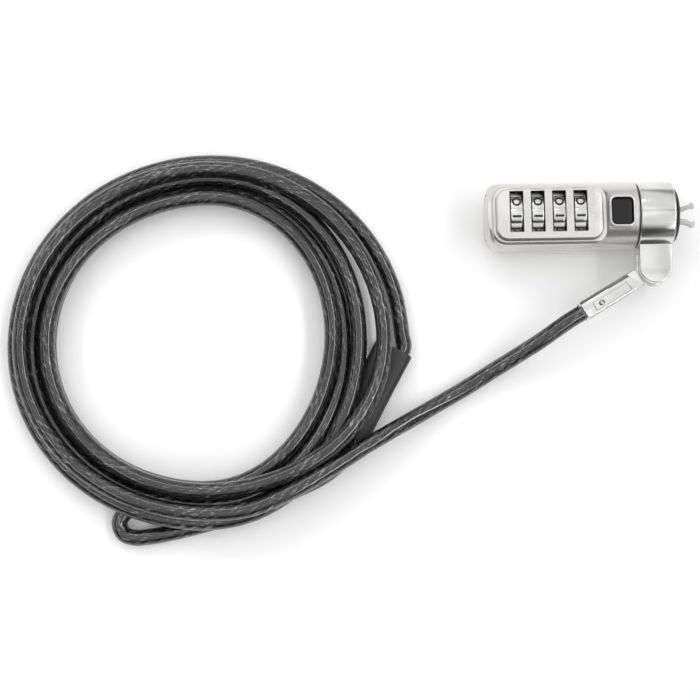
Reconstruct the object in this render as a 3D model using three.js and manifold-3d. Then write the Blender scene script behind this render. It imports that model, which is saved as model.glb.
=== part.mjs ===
// A laptop cable lock: a four-dial combination head, its swivelling collar with a fork
// lug, and a coiled vinyl-covered steel cable that ends in a crimped eye.
// Millimetres, +Z up. The head lies along +X with its claws at the +X end, and everything
// rests on Z = 0. The origin is the middle of the footprint of the head and its fitting.
// Each sub-part is made in the head's own frame: X = 0 is the joint between body and
// collar, and Y = Z = 0 is the head's axis.
import * as THREE from "three";
import { mergeVertices } from "three/addons/utils/BufferGeometryUtils.js";
import Module from "manifold-3d";

const wasm = await Module();
wasm.setup();

// ---------------------------------------------------------------- driving dimensions
const GAP = 0.3; // clearance between neighbours
const ROUND = 48; // segments of a large turned surface
const SMALL_ROUND = 20; // segments of a pin, bore or rod

const HEAD_R = 10.4;
const BODY_LENGTH = 46;
const BODY_END_ROUND = 3.6;
const BODY_EDGE = 0.4;

const PAD = { x0: -45, x1: -10.2, y: -0.85, halfWidth: 9, corner: 4.4, top: 8.1 };
const PLATE = { x0: -43.7, x1: -11.3, halfWidth: 7.9, corner: 3.6, top: 9.4 };

const DIAL_COUNT = 4;
const DIAL_FIRST_X = -37.5;
const DIAL_PITCH = 6.45;
const DIAL_WIDTH = 3.6;
const DIAL_R = 7.5;
const DIAL_BORE_R = 4.6;
const DIAL_Z = 2.4; // the dials' axis lies this far above the head's
const DIGIT_COUNT = 10;
const DIGIT_ZERO_ANGLE = 24; // degrees from +Z towards +Y
const WINDOW = { width: 4.2, halfLength: 6.3 };
const POCKET = { width: 4.2, r: 7.85 };

const CLUTCH = { outerR: 4.3, boreR: 2.1, width: 3.4 };
const KEYWAY = { halfWidth: 0.75, reach: 3.2 };
const SPINDLE = { r: 1.8, x0: -41.6, x1: -10.3 };
const SPINDLE_BORE_R = 2.1;
const FIN = { halfWidth: 0.45, reach: 2.9, length: 1.1 };

const BUTTON = { x: -5.75, y: -0.5, width: 6.3, length: 8, corner: 1.3, top: 10.1, bottom: 6.6 };
const BUTTON_TRAVEL = 1.6;
const SLIDE_TRAVEL = BUTTON_TRAVEL / 2; // the stem's ramp draws the code rod half as far
const BEZEL = { width: 7.9, length: 9.9, corner: 2.1, top: 10.7 };
const STEM = { width: 2.4, length: 2.8, bottom: -2 };

const NECK_R = 7;
const NECK_END = 11.2;
const COLLAR = { x1: 10.6, boreR: 7.3, counterboreX: 9, counterboreR: 8.9, edge: 0.5 };
const GROOVE = { x0: 9.7, x1: 10.5, r: 6.3 };
const WASHER = { x0: 9.2, x1: 9.5, innerR: 7.3, outerR: 8.5 };
const CLIP = { x0: 9.85, x1: 10.3, innerR: 6.6, outerR: 8.4 };
const END_PAD = { x0: 10.9, x1: 12.6, rimX: 11.2, outerR: 8.8, boreR: 7.3, faceR: 4.8 };

const LUG = { x: 5.2, halfWidth: 5, pivotY: -16.5, halfThickness: 4 };
const FORK_SLOT = { halfWidth: 1.65, top: -11.8 };
const PIVOT_PIN = { r: 1.4, top: 3 };

const PRONG = { pivotX: 2.4, pivotY: 1.9, pinR: 0.7, boreR: 1, halfThickness: 1.3 };
const PASSAGE = { halfWidth: 3.6, halfHeight: 1.6 };

const FITTING_ANGLE = 210.6; // degrees, from the pivot towards the cable
const FITTING = { tongueR: 4.4, blockX: 5.5, bodyX: 8.4, endX: 26.2 };
const CABLE_R = 2.5;
const COIL = { x: -132, y: -36, rx: 61.8, ry: 58.6, height: 12.4 };
const COIL_HOLE = { x: -136.9, y: -36.4, rx: 41.5, ry: 43.1 };
const SLEEVE = { x: -82.1, y: -52.6, angle: -118.3, length: 31, halfWidth: 6.2, height: 6.4 };

// ---------------------------------------------------------------- solids
// A closed geometry as a manifold-3d solid with its faces pointing out.
function solid(geometry) {
  const plain = geometry.index ? geometry.toNonIndexed() : geometry.clone();
  plain.deleteAttribute("normal");
  plain.deleteAttribute("uv");
  const merged = mergeVertices(plain, 1e-4);
  const vertProperties = merged.attributes.position.array;
  const triVerts = new Uint32Array(merged.index.array);
  const made = new wasm.Manifold(new wasm.Mesh({ numProp: 3, vertProperties, triVerts }));
  if (made.volume() > 0) return made;
  for (let i = 0; i < triVerts.length; i += 3) {
    const second = triVerts[i + 1];
    triVerts[i + 1] = triVerts[i + 2];
    triVerts[i + 2] = second;
  }
  return new wasm.Manifold(new wasm.Mesh({ numProp: 3, vertProperties, triVerts }));
}

function geometryOf(made) {
  const { numProp, vertProperties, triVerts } = made.getMesh();
  const positions = new Float32Array((vertProperties.length / numProp) * 3);
  for (let i = 0; i < positions.length / 3; i += 1) {
    for (let k = 0; k < 3; k += 1) positions[i * 3 + k] = vertProperties[i * numProp + k];
  }
  const geometry = new THREE.BufferGeometry();
  geometry.setAttribute("position", new THREE.BufferAttribute(positions, 3));
  geometry.setIndex(new THREE.BufferAttribute(new Uint32Array(triVerts), 1));
  const flat = geometry.toNonIndexed();
  flat.computeVertexNormals();
  return flat;
}

function joined(solids) {
  return solids.reduce((sum, next) => sum.add(next));
}

function cutFrom(base, cutters) {
  return cutters.reduce((rest, cutter) => rest.subtract(cutter), base);
}

function block(x0, x1, y0, y1, z0, z1) {
  const box = new THREE.BoxGeometry(x1 - x0, y1 - y0, z1 - z0);
  return solid(box.translate((x0 + x1) / 2, (y0 + y1) / 2, (z0 + z1) / 2));
}

function rodX(r, x0, x1, y, z, segments = SMALL_ROUND) {
  const rod = new THREE.CylinderGeometry(r, r, x1 - x0, segments);
  return solid(rod.rotateZ(Math.PI / 2).translate((x0 + x1) / 2, y, z));
}

function rodZ(r, z0, z1, x, y, segments = SMALL_ROUND) {
  const rod = new THREE.CylinderGeometry(r, r, z1 - z0, segments);
  return solid(rod.rotateX(Math.PI / 2).translate(x, y, (z0 + z1) / 2));
}

// A solid of revolution about the X axis, from points of [radius, x].
function turnedX(points, segments = ROUND) {
  const profile = points.map(([r, x]) => new THREE.Vector2(r, x));
  return solid(new THREE.LatheGeometry(profile, segments).rotateZ(-Math.PI / 2));
}

function ringX(innerR, outerR, x0, x1, segments = ROUND) {
  const corners = [
    [innerR, x0],
    [outerR, x0],
    [outerR, x1],
    [innerR, x1],
    [innerR, x0],
  ];
  return turnedX(corners, segments);
}

function roundedRectangle(x0, x1, y0, y1, r) {
  const shape = new THREE.Shape();
  shape.moveTo(x0 + r, y0);
  shape.lineTo(x1 - r, y0);
  shape.absarc(x1 - r, y0 + r, r, -Math.PI / 2, 0);
  shape.lineTo(x1, y1 - r);
  shape.absarc(x1 - r, y1 - r, r, 0, Math.PI / 2);
  shape.lineTo(x0 + r, y1);
  shape.absarc(x0 + r, y1 - r, r, Math.PI / 2, Math.PI);
  shape.lineTo(x0, y0 + r);
  shape.absarc(x0 + r, y0 + r, r, Math.PI, 1.5 * Math.PI);
  return shape;
}

// An outline extruded from z0 to z1, with an optional bevel inside the outline.
function prism(shape, z0, z1, bevel = 0, curveSegments = 3) {
  const geometry = new THREE.ExtrudeGeometry(shape, {
    depth: z1 - z0 - 2 * bevel,
    bevelEnabled: bevel > 0,
    bevelThickness: bevel,
    bevelSize: bevel,
    bevelOffset: -bevel,
    bevelSegments: 1,
    curveSegments,
  });
  return solid(geometry.translate(0, 0, z0 + bevel));
}

// A round tube along a smooth curve through points of [x, y, z]. A full circle takes two
// sides for each of its curve segments.
function tube(points, r, steps, sides) {
  const places = points.map((p) => new THREE.Vector3(...p));
  const extrudePath = new THREE.CatmullRomCurve3(places, false, "centripetal");
  const section = new THREE.Shape();
  section.absarc(0, 0, r, 0, 2 * Math.PI);
  const options = { steps, extrudePath, curveSegments: sides / 2, bevelEnabled: false };
  return solid(new THREE.ExtrudeGeometry(section, options));
}

// A compression spring along +Z from z0 to z1, centred on the Z axis.
function springZ(coilR, wireR, z0, z1, turns) {
  const stepsPerTurn = 10;
  const points = [];
  for (let i = 0; i <= turns * stepsPerTurn; i += 1) {
    const turn = i / stepsPerTurn;
    const angle = 2 * Math.PI * turn;
    const z = THREE.MathUtils.lerp(z0 + wireR, z1 - wireR, turn / turns);
    points.push([coilR * Math.cos(angle), coilR * Math.sin(angle), z]);
  }
  return tube(points, wireR, turns * stepsPerTurn, 6);
}

const dialX = (i) => DIAL_FIRST_X + i * DIAL_PITCH;

// ---------------------------------------------------------------- the lock's body
function barrel() {
  const path = new THREE.Path();
  const roundR = HEAD_R - BODY_END_ROUND;
  path.moveTo(0, -BODY_LENGTH);
  path.lineTo(roundR, -BODY_LENGTH);
  path.absarc(roundR, BODY_END_ROUND - BODY_LENGTH, BODY_END_ROUND, -Math.PI / 2, 0);
  path.lineTo(HEAD_R, -GAP - BODY_EDGE);
  path.lineTo(HEAD_R - BODY_EDGE, -GAP);
  path.lineTo(NECK_R, -GAP);
  path.lineTo(NECK_R, GROOVE.x0);
  path.lineTo(GROOVE.r, GROOVE.x0);
  path.lineTo(GROOVE.r, GROOVE.x1);
  path.lineTo(NECK_R, GROOVE.x1);
  path.lineTo(NECK_R, NECK_END);
  path.lineTo(0, NECK_END);
  return turnedX(path.getPoints(3).map((p) => [p.x, p.y]));
}

function padOutline() {
  const { x0, x1, y, halfWidth, corner } = PAD;
  return roundedRectangle(x0, x1, y - halfWidth, y + halfWidth, corner);
}

// Everything above the pad is cut away, with a slope up to the cylinder at its ends.
function padClearance() {
  const rise = 2.6;
  const flare = 2.2;
  const geometry = new THREE.ExtrudeGeometry(padOutline(), {
    depth: 4,
    bevelEnabled: true,
    bevelThickness: rise,
    bevelSize: flare,
    bevelSegments: 1,
    curveSegments: 3,
  });
  return solid(geometry.translate(0, 0, PAD.top + rise));
}

function dialPocket(i) {
  const x0 = dialX(i) - POCKET.width / 2;
  const x1 = dialX(i) + POCKET.width / 2;
  const well = rodX(POCKET.r, x0, x1, 0, DIAL_Z, 32);
  return well.add(block(x0, x1, -POCKET.r + 0.5, POCKET.r - 0.5, DIAL_Z + 2.9, HEAD_R + 1));
}

function spindleBore() {
  const boreEnd = SPINDLE.x1 + GAP;
  const boreStart = -BODY_LENGTH - 1;
  const { halfWidth, reach } = KEYWAY;
  const bore = rodX(SPINDLE_BORE_R, boreStart, boreEnd, 0, DIAL_Z);
  return bore.add(block(boreStart, boreEnd, -halfWidth, halfWidth, DIAL_Z, DIAL_Z + reach));
}

function buttonOutline(width, length, corner) {
  const x0 = BUTTON.x - width / 2;
  const y0 = BUTTON.y - length / 2;
  return roundedRectangle(x0, x0 + width, y0, y0 + length, corner);
}

function buttonWell() {
  const { width, length, corner } = BUTTON;
  const mouth = prism(buttonOutline(width + 2 * GAP, length + 2 * GAP, corner + GAP), 4.2, 12);
  const stemWell = block(-7.9, -3.6, -1.9, 1.9, -6.5, 5);
  return mouth.add(stemWell);
}

function sliderCavity() {
  const channel = block(-11.6, 0.5, -2.9, 2.9, -1.6, 1.6);
  const tangRoom = block(-11.6, -8.6, -1.6, 1.6, 0, 4.7);
  return channel.add(tangRoom);
}

function lockHousing() {
  const padded = barrel().add(prism(padOutline(), 2, PAD.top + 1));
  const bezel = prism(buttonOutline(BEZEL.width, BEZEL.length, BEZEL.corner), 5, BEZEL.top, 0.4);
  const casting = padded.subtract(padClearance()).add(bezel);
  const { pivotX, pivotY, boreR } = PRONG;
  const pinBores = [pivotY, -pivotY].map((y) => rodZ(boreR, -8, 8, pivotX, y, 12));
  const { halfWidth, halfHeight } = PASSAGE;
  const passage = block(-2.4, NECK_END + 1, -halfWidth, halfWidth, -halfHeight, halfHeight);
  const plugSeat = rodX(7.3, -BODY_LENGTH - 1, -44.2, 0, 0, 36);
  const detentChannel = block(-40, -13.6, -1.3, 1.3, -6.7, -4.6);
  const pockets = Array.from({ length: DIAL_COUNT }, (_, i) => dialPocket(i));
  return cutFrom(casting, [
    ...pockets,
    ...pinBores,
    spindleBore(),
    buttonWell(),
    sliderCavity(),
    passage,
    plugSeat,
    detentChannel,
  ]);
}

function facePlate() {
  const { x0, x1, halfWidth, corner, top } = PLATE;
  const outline = roundedRectangle(x0, x1, PAD.y - halfWidth, PAD.y + halfWidth, corner);
  const plate = prism(outline, PAD.top + GAP, top, 0.3);
  const windows = Array.from({ length: DIAL_COUNT }, (_, i) => {
    const half = WINDOW.width / 2;
    return block(dialX(i) - half, dialX(i) + half, -WINDOW.halfLength, WINDOW.halfLength, 5, 12);
  });
  return cutFrom(plate, windows);
}

function endPlug() {
  return turnedX(
    [
      [0, -BODY_LENGTH],
      [6.6, -BODY_LENGTH],
      [7, -BODY_LENGTH + 0.4],
      [7, -44.5],
      [0, -44.5],
    ],
    36,
  );
}

// ---------------------------------------------------------------- dials and code rod
// A dial about its own centre, with digit 0 at the top before its mesh is turned.
function dial() {
  const half = DIAL_WIDTH / 2;
  const edge = 0.25;
  const drum = turnedX(
    [
      [DIAL_BORE_R, -half],
      [DIAL_R - edge, -half],
      [DIAL_R, -half + edge],
      [DIAL_R, half - edge],
      [DIAL_R - edge, half],
      [DIAL_BORE_R, half],
      [DIAL_BORE_R, -half],
    ],
    40,
  );
  const grooves = Array.from({ length: DIGIT_COUNT }, (_, k) => {
    const groove = new THREE.BoxGeometry(DIAL_WIDTH + 1, 0.3, 0.5).translate(0, 0, DIAL_R);
    return solid(groove.rotateX(((k + 0.5) / DIGIT_COUNT) * 2 * Math.PI));
  });
  return cutFrom(drum, grooves);
}

function clutchRing() {
  const { outerR, boreR, width } = CLUTCH;
  const ring = ringX(boreR, outerR, -width / 2, width / 2, 28);
  return ring.subtract(block(-width, width, -KEYWAY.halfWidth, KEYWAY.halfWidth, 1, KEYWAY.reach));
}

// The code rod, with one fin in the rib beside each clutch ring. A drawn rod brings each
// fin up to its ring's gate.
function spindle() {
  const { r, x0, x1 } = SPINDLE;
  const fins = Array.from({ length: DIAL_COUNT }, (_, i) => {
    const finX = dialX(i) + CLUTCH.width / 2 + SLIDE_TRAVEL + 0.1;
    return block(finX, finX + FIN.length, -FIN.halfWidth, FIN.halfWidth, DIAL_Z, DIAL_Z + FIN.reach);
  });
  return joined([rodX(r, x0, x1, 0, DIAL_Z), ...fins]);
}

function detentSpring() {
  const strip = block(-39.7, -13.9, -1, 1, -6.35, -6.05);
  const fingers = Array.from({ length: DIAL_COUNT }, (_, i) => {
    return block(dialX(i) - 1, dialX(i) + 1, -0.8, 0.8, -6.1, -5.45);
  });
  return joined([strip, ...fingers]);
}

// ---------------------------------------------------------------- release mechanism
function button() {
  const { x, width, length, corner, top, bottom } = BUTTON;
  const cap = prism(buttonOutline(width, length, corner), bottom, top, 0.45);
  const halfX = STEM.width / 2;
  const stem = new THREE.Shape();
  stem.moveTo(x - halfX, bottom + 0.2);
  stem.lineTo(x + halfX, bottom + 0.2);
  stem.lineTo(x + halfX, STEM.bottom);
  stem.lineTo(x - halfX + 0.8, STEM.bottom);
  stem.lineTo(x - halfX, STEM.bottom + 1.6);
  const side = new THREE.ExtrudeGeometry(stem, { depth: STEM.length, bevelEnabled: false });
  return cap.add(solid(side.translate(0, 0, -STEM.length / 2).rotateX(Math.PI / 2)));
}

// A window lets the button's stem through, and the head at +X works the claws' tails.
function releaseSlider() {
  const frame = block(-9.9, -1.3, -2.6, 2.6, -1.2, 1.2);
  const window = block(-8, -3.5, -1.8, 1.8, -2, 2);
  const tang = block(-9.9, -8.9, -1.2, 1.2, 0, 4.3);
  const nose = block(-1.5, 1.3, -0.6, 0.6, -1.2, 1.2);
  const head = block(1.2, 1.9, -0.95, 0.95, -1.2, 1.2);
  return cutFrom(joined([frame, tang, nose, head]), [window]);
}

// The upper claw: a tail and a pivot eye inside the neck, a leg that bends out past the
// pad, and a hook that catches behind the slot's end. The lower claw is its mirror.
function prongOutline() {
  const outline = new THREE.Shape();
  const { pivotX, pivotY } = PRONG;
  outline.moveTo(0.5, 1.3);
  outline.lineTo(4, 1.15);
  outline.lineTo(13.6, 1.15);
  outline.lineTo(16.9, 2.25);
  outline.lineTo(18, 2.05);
  outline.lineTo(18, 3.7);
  outline.lineTo(17, 3.7);
  outline.lineTo(16.5, 3.15);
  outline.lineTo(13.2, 2.35);
  outline.lineTo(4.2, 2.35);
  outline.absarc(pivotX, pivotY, 1.5, 0.3, Math.PI * 0.9);
  outline.lineTo(0.5, 2.4);
  return outline;
}

function prong(side) {
  const { pivotX, pivotY, boreR, halfThickness } = PRONG;
  const geometry = new THREE.ExtrudeGeometry(prongOutline(), {
    depth: 2 * halfThickness,
    bevelEnabled: false,
    curveSegments: 8,
  });
  const eye = rodZ(boreR, -3, 3, pivotX, pivotY, 12);
  const leaf = solid(geometry.translate(0, 0, -halfThickness)).subtract(eye);
  return side > 0 ? leaf : leaf.mirror([0, 1, 0]);
}

// ---------------------------------------------------------------- collar and nose
function swivelCollar() {
  const { x1, boreR, counterboreX, counterboreR, edge } = COLLAR;
  const { x, halfWidth, pivotY, halfThickness } = LUG;
  const ring = turnedX([
    [5, 0],
    [HEAD_R - edge, 0],
    [HEAD_R, edge],
    [HEAD_R, x1 - edge],
    [HEAD_R - edge, x1],
    [5, x1],
    [5, 0],
  ]);
  const cheek = new THREE.Shape();
  cheek.moveTo(x + halfWidth, pivotY);
  cheek.lineTo(x + halfWidth, -5);
  cheek.lineTo(x - halfWidth, -5);
  cheek.lineTo(x - halfWidth, pivotY);
  cheek.absarc(x, pivotY, halfWidth, Math.PI, 2 * Math.PI);
  const lug = prism(cheek, -halfThickness, halfThickness, 0.4, 8);
  const { top, halfWidth: slotHalf } = FORK_SLOT;
  const slot = block(-2, 13, pivotY - halfWidth - 1, top, -slotHalf, slotHalf);
  const pinBore = rodZ(PIVOT_PIN.r + GAP, -6, PIVOT_PIN.top + GAP, x, pivotY);
  return cutFrom(joined([ring, lug]), [
    rodX(boreR, -1, x1 + 1, 0, 0, ROUND),
    rodX(counterboreR, counterboreX, x1 + 1, 0, 0, ROUND),
    slot,
    pinBore,
  ]);
}

function pivotPin() {
  const { x, pivotY, halfThickness } = LUG;
  return rodZ(PIVOT_PIN.r, -halfThickness, PIVOT_PIN.top, x, pivotY);
}

function frictionWasher() {
  return ringX(WASHER.innerR, WASHER.outerR, WASHER.x0, WASHER.x1, 36);
}

function retainingClip() {
  const ring = ringX(CLIP.innerR, CLIP.outerR, CLIP.x0, CLIP.x1, 36);
  return ring.subtract(block(CLIP.x0 - 1, CLIP.x1 + 1, -4, 4, -12, 0));
}

// A domed rubber cap over the neck, with a flat ring round the slot for the claws.
function endPad() {
  const { x0, x1, rimX, outerR, boreR, faceR } = END_PAD;
  const path = new THREE.Path();
  path.moveTo(boreR, x0);
  path.lineTo(outerR, x0);
  path.lineTo(outerR, rimX);
  path.quadraticCurveTo(outerR - 1, x1, faceR, x1);
  path.lineTo(0, x1);
  path.lineTo(0, NECK_END + GAP);
  path.lineTo(boreR, NECK_END + GAP);
  path.lineTo(boreR, x0);
  const cap = turnedX(path.getPoints(5).map((p) => [p.x, p.y]), 40);
  return cap.subtract(block(NECK_END, x1 + 1, -3, 3, -1.75, 1.75));
}

// ---------------------------------------------------------------- cable end fitting
// The fitting's own frame: its origin is the pivot, and +X runs towards the cable.
function fittingSection() {
  const half = 3.05;
  const bevel = 1.4;
  const section = new THREE.Shape();
  section.moveTo(-half, -half);
  section.lineTo(half, -half);
  section.lineTo(half, half - 0.5);
  section.lineTo(half - 0.5, half);
  section.lineTo(-half + bevel, half);
  section.lineTo(-half, half - bevel);
  return section;
}

// An outline in [y, z] extruded along +X.
function alongX(shape, x0, x1) {
  const geometry = new THREE.ExtrudeGeometry(shape, { depth: x1 - x0, bevelEnabled: false });
  const turn = new THREE.Matrix4().set(0, 0, 1, x0, 1, 0, 0, 0, 0, 1, 0, 0, 0, 0, 0, 1);
  return solid(geometry.applyMatrix4(turn));
}

function cableFitting() {
  const { tongueR, blockX, bodyX, endX } = FITTING;
  const tongueEnd = rodZ(tongueR, -1.35, 1.35, 0, 0, 36);
  const tongue = tongueEnd.add(block(0, 7, -3.4, 3.4, -1.35, 1.35));
  const front = block(blockX, bodyX + 0.2, -3.5, 3.5, -3.2, 3.2);
  const body = alongX(fittingSection(), bodyX, endX);
  return cutFrom(joined([tongue, front, body]), [
    block(10, 22.6, -1, 2.2, 1.9, 4),
    rodZ(0.95, 0.5, 4, 19.9, 0.6, 12),
    rodZ(PIVOT_PIN.r + GAP, -3, 3, 0, 0),
  ]);
}

function fittingPlate() {
  return block(10.3, 22.3, -0.7, 1.9, 2.2, 2.7).subtract(rodZ(0.95, 1, 4, 19.9, 0.6, 12));
}

function crimpRivet() {
  return rodZ(0.6, 0.8, 2.9, 19.9, 0.6, 12);
}

// ---------------------------------------------------------------- cable
// Points in the head's plan, with Z measured up from the surface that the cable lies on.
// The first stretch leaves the fitting in line with it, on the head's axis height.
const fittingDirection = THREE.MathUtils.degToRad(FITTING_ANGLE);

function alongFitting(distance, z) {
  const x = LUG.x + distance * Math.cos(fittingDirection);
  const y = LUG.pivotY + distance * Math.sin(fittingDirection);
  return [x, y, z];
}

const TAIL_ROUTE = [
  alongFitting(FITTING.endX + GAP, HEAD_R),
  alongFitting(FITTING.endX + 5, 10.2),
  [-30.3, -38.2, 8.6],
  [-37.5, -42.5, 6.2],
  [-44.5, -46.6, 4.1],
  [-51.5, -50.8, 3],
  [-58.5, -54.8, 3],
  [-65.5, -58.8, 4.4],
  [-72.5, -62.8, 6.8],
  [-79, -66.5, 8.8],
  [-83.5, -69.1, 9.4],
];

// A point of the eye in line with the sleeve, past the end that the eye comes out of.
function pastSleeve(distance, side) {
  const angle = THREE.MathUtils.degToRad(SLEEVE.angle);
  const along = SLEEVE.length / 2 + distance;
  const across = side * (CABLE_R + 0.1);
  const x = SLEEVE.x + along * Math.cos(angle) - across * Math.sin(angle);
  const y = SLEEVE.y + along * Math.sin(angle) + across * Math.cos(angle);
  return [x, y];
}

const EYE_ROUTE = [
  pastSleeve(GAP, 1),
  pastSleeve(4, 1),
  [-96.6, -77.8],
  [-105.4, -82.1],
  [-116.8, -86.8],
  [-128.7, -90.9],
  [-141, -94],
  [-150, -95.6],
  [-155.5, -95.9],
  [-158.5, -94.7],
  [-159.8, -91.6],
  [-158.5, -88.6],
  [-155.5, -87.3],
  [-149, -86.9],
  [-141, -86.2],
  [-128.7, -84.2],
  [-116.8, -80.6],
  [-105.4, -75.6],
  pastSleeve(4.5, -1),
  pastSleeve(GAP, -1),
];

function tailTube(radius) {
  return tube(TAIL_ROUTE, radius, 32, 10);
}

function eyeTube(radius, z) {
  return tube(
    EYE_ROUTE.map(([x, y]) => [x, y, z]),
    radius,
    60,
    10,
  );
}

function ellipse({ x, y, rx, ry }, Outline) {
  const outline = new Outline();
  outline.absellipse(x, y, rx, ry, 0, 2 * Math.PI);
  return outline;
}

function sleeveBody(margin, bevel) {
  const halfX = SLEEVE.length / 2 + margin;
  const halfY = SLEEVE.halfWidth + margin;
  const outline = roundedRectangle(-halfX, halfX, -halfY, halfY, 1.2);
  return prism(outline, -margin, SLEEVE.height + margin, bevel, 3);
}

function placedSleeve(made) {
  return made.rotate([0, 0, SLEEVE.angle]).translate([SLEEVE.x, SLEEVE.y, 0]);
}

// The coil's outer shape, cut clear of the tail that runs into it and of the sleeve and
// the eye that lie under it.
function cableCoil() {
  const outline = ellipse(COIL, THREE.Shape);
  outline.holes.push(ellipse(COIL_HOLE, THREE.Path));
  const ring = prism(outline, 0, COIL.height, 0, 24);
  const clearR = CABLE_R + 1.5 * GAP;
  return cutFrom(ring, [
    tailTube(clearR),
    eyeTube(clearR, CABLE_R),
    eyeTube(clearR, 0),
    placedSleeve(sleeveBody(GAP, 0)),
  ]);
}

// ---------------------------------------------------------------- assembly
const FINISHES = {
  satinNickel: { color: 0xc9c7c2, roughness: 0.3, metalness: 1 },
  polishedChrome: { color: 0xe2e2e0, roughness: 0.12, metalness: 1 },
  steel: { color: 0x9a9c9e, roughness: 0.35, metalness: 1 },
  brass: { color: 0xb59a5a, roughness: 0.35, metalness: 1 },
  blackPlastic: { color: 0x1d1d1e, roughness: 0.45, metalness: 0 },
  blackRubber: { color: 0x161616, roughness: 0.8, metalness: 0 },
  vinylCable: { color: 0x2b2b2c, roughness: 0.3, metalness: 0.2 },
  sleeveBlack: { color: 0x232323, roughness: 0.7, metalness: 0 },
};

function addPart(group, name, made, finish) {
  const material = new THREE.MeshStandardMaterial(FINISHES[finish]);
  const mesh = new THREE.Mesh(geometryOf(made), material);
  mesh.name = name;
  group.add(mesh);
  return mesh;
}

function buildHead() {
  const head = new THREE.Group();
  addPart(head, "lock_housing", lockHousing(), "satinNickel");
  addPart(head, "face_plate", facePlate(), "satinNickel");
  addPart(head, "end_plug", endPlug(), "satinNickel");
  for (let i = 0; i < DIAL_COUNT; i += 1) {
    const wheel = addPart(head, `dial_${i + 1}`, dial(), "polishedChrome");
    wheel.position.set(dialX(i), 0, DIAL_Z);
    wheel.rotation.x = THREE.MathUtils.degToRad(-DIGIT_ZERO_ANGLE);
    const ring = addPart(head, `clutch_ring_${i + 1}`, clutchRing(), "brass");
    ring.position.set(dialX(i), 0, DIAL_Z);
  }
  addPart(head, "spindle", spindle(), "steel");
  addPart(head, "detent_spring", detentSpring(), "steel");
  addPart(head, "button", button(), "blackPlastic");
  addPart(head, "release_slider", releaseSlider(), "steel");
  addPart(head, "prong_upper", prong(1), "polishedChrome");
  addPart(head, "prong_lower", prong(-1), "polishedChrome");
  const pinNames = { prong_pin_upper: PRONG.pivotY, prong_pin_lower: -PRONG.pivotY };
  for (const [name, y] of Object.entries(pinNames)) {
    addPart(head, name, rodZ(PRONG.pinR, -6, 6, PRONG.pivotX, y, 12), "steel");
  }
  addPart(head, "swivel_collar", swivelCollar(), "polishedChrome");
  addPart(head, "pivot_pin", pivotPin(), "steel");
  addPart(head, "friction_washer", frictionWasher(), "steel");
  addPart(head, "retaining_clip", retainingClip(), "steel");
  addPart(head, "end_pad", endPad(), "blackRubber");

  const spindleSpring = addPart(head, "spindle_spring", springZ(1.2, 0.2, 0, 2.3, 4), "steel");
  spindleSpring.rotation.y = Math.PI / 2;
  spindleSpring.position.set(SPINDLE.x0 - GAP - 2.3, 0, DIAL_Z);
  const buttonSpring = addPart(head, "button_spring", springZ(1.1, 0.2, 0, 3.9, 5), "steel");
  buttonSpring.position.set(BUTTON.x, 0, STEM.bottom - GAP - 3.9);
  head.position.z = HEAD_R;
  return head;
}

function buildCable() {
  const cable = new THREE.Group();
  const fitting = new THREE.Group();
  fitting.position.set(LUG.x, LUG.pivotY, HEAD_R);
  fitting.rotation.z = fittingDirection;
  addPart(fitting, "cable_fitting", cableFitting(), "polishedChrome");
  addPart(fitting, "fitting_plate", fittingPlate(), "steel");
  addPart(fitting, "crimp_rivet", crimpRivet(), "steel");
  cable.add(fitting);
  addPart(cable, "cable_tail", tailTube(CABLE_R), "vinylCable");
  addPart(cable, "cable_coil", cableCoil(), "vinylCable");
  addPart(cable, "cable_eye", eyeTube(CABLE_R, CABLE_R), "vinylCable");
  addPart(cable, "loop_sleeve", placedSleeve(sleeveBody(0, 1.1)), "sleeveBlack");
  return cable;
}

// Moves the origin to the middle of the footprint of the head and its fitting.
function centred(head, cable) {
  const lock = new THREE.Group();
  lock.add(head, cable);
  lock.updateMatrixWorld(true);
  const footprint = new THREE.Box3().setFromObject(head, true);
  footprint.union(new THREE.Box3().setFromObject(cable.children[0], true));
  const middle = footprint.getCenter(new THREE.Vector3());
  lock.position.set(-middle.x, -middle.y, -footprint.min.z);
  return lock;
}

export default centred(buildHead(), buildCable());
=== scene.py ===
import math

import bmesh
import bpy
import numpy as np
from mathutils import Matrix, Vector


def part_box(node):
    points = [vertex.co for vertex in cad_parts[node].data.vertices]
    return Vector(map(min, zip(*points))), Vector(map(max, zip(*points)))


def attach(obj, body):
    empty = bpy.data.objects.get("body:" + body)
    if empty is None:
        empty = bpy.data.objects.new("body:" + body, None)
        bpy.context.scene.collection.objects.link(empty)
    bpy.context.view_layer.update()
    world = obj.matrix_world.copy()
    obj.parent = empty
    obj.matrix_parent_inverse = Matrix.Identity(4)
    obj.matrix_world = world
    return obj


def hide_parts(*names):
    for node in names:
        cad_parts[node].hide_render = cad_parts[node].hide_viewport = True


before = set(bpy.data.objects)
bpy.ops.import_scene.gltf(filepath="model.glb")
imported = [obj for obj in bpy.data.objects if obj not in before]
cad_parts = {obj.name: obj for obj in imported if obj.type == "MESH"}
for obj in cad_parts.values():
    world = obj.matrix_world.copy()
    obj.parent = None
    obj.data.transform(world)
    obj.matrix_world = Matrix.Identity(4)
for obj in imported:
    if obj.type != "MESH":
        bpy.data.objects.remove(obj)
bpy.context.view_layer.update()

# Sizes are millimetres in the head's own frame until place() turns them into metres in
# the row frame. The head's X = 0 is the joint between body and collar, and
# Y = Z = 0 is the head's axis.
MM = 0.001
WASHER_X0 = 9.2  # where the friction washer starts
washer_low, washer_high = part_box("friction_washer")
ORIGIN = Vector(
    (
        washer_low.x - WASHER_X0 * MM,
        (washer_low.y + washer_high.y) / 2,
        (washer_low.z + washer_high.z) / 2,
    )
)

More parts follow.
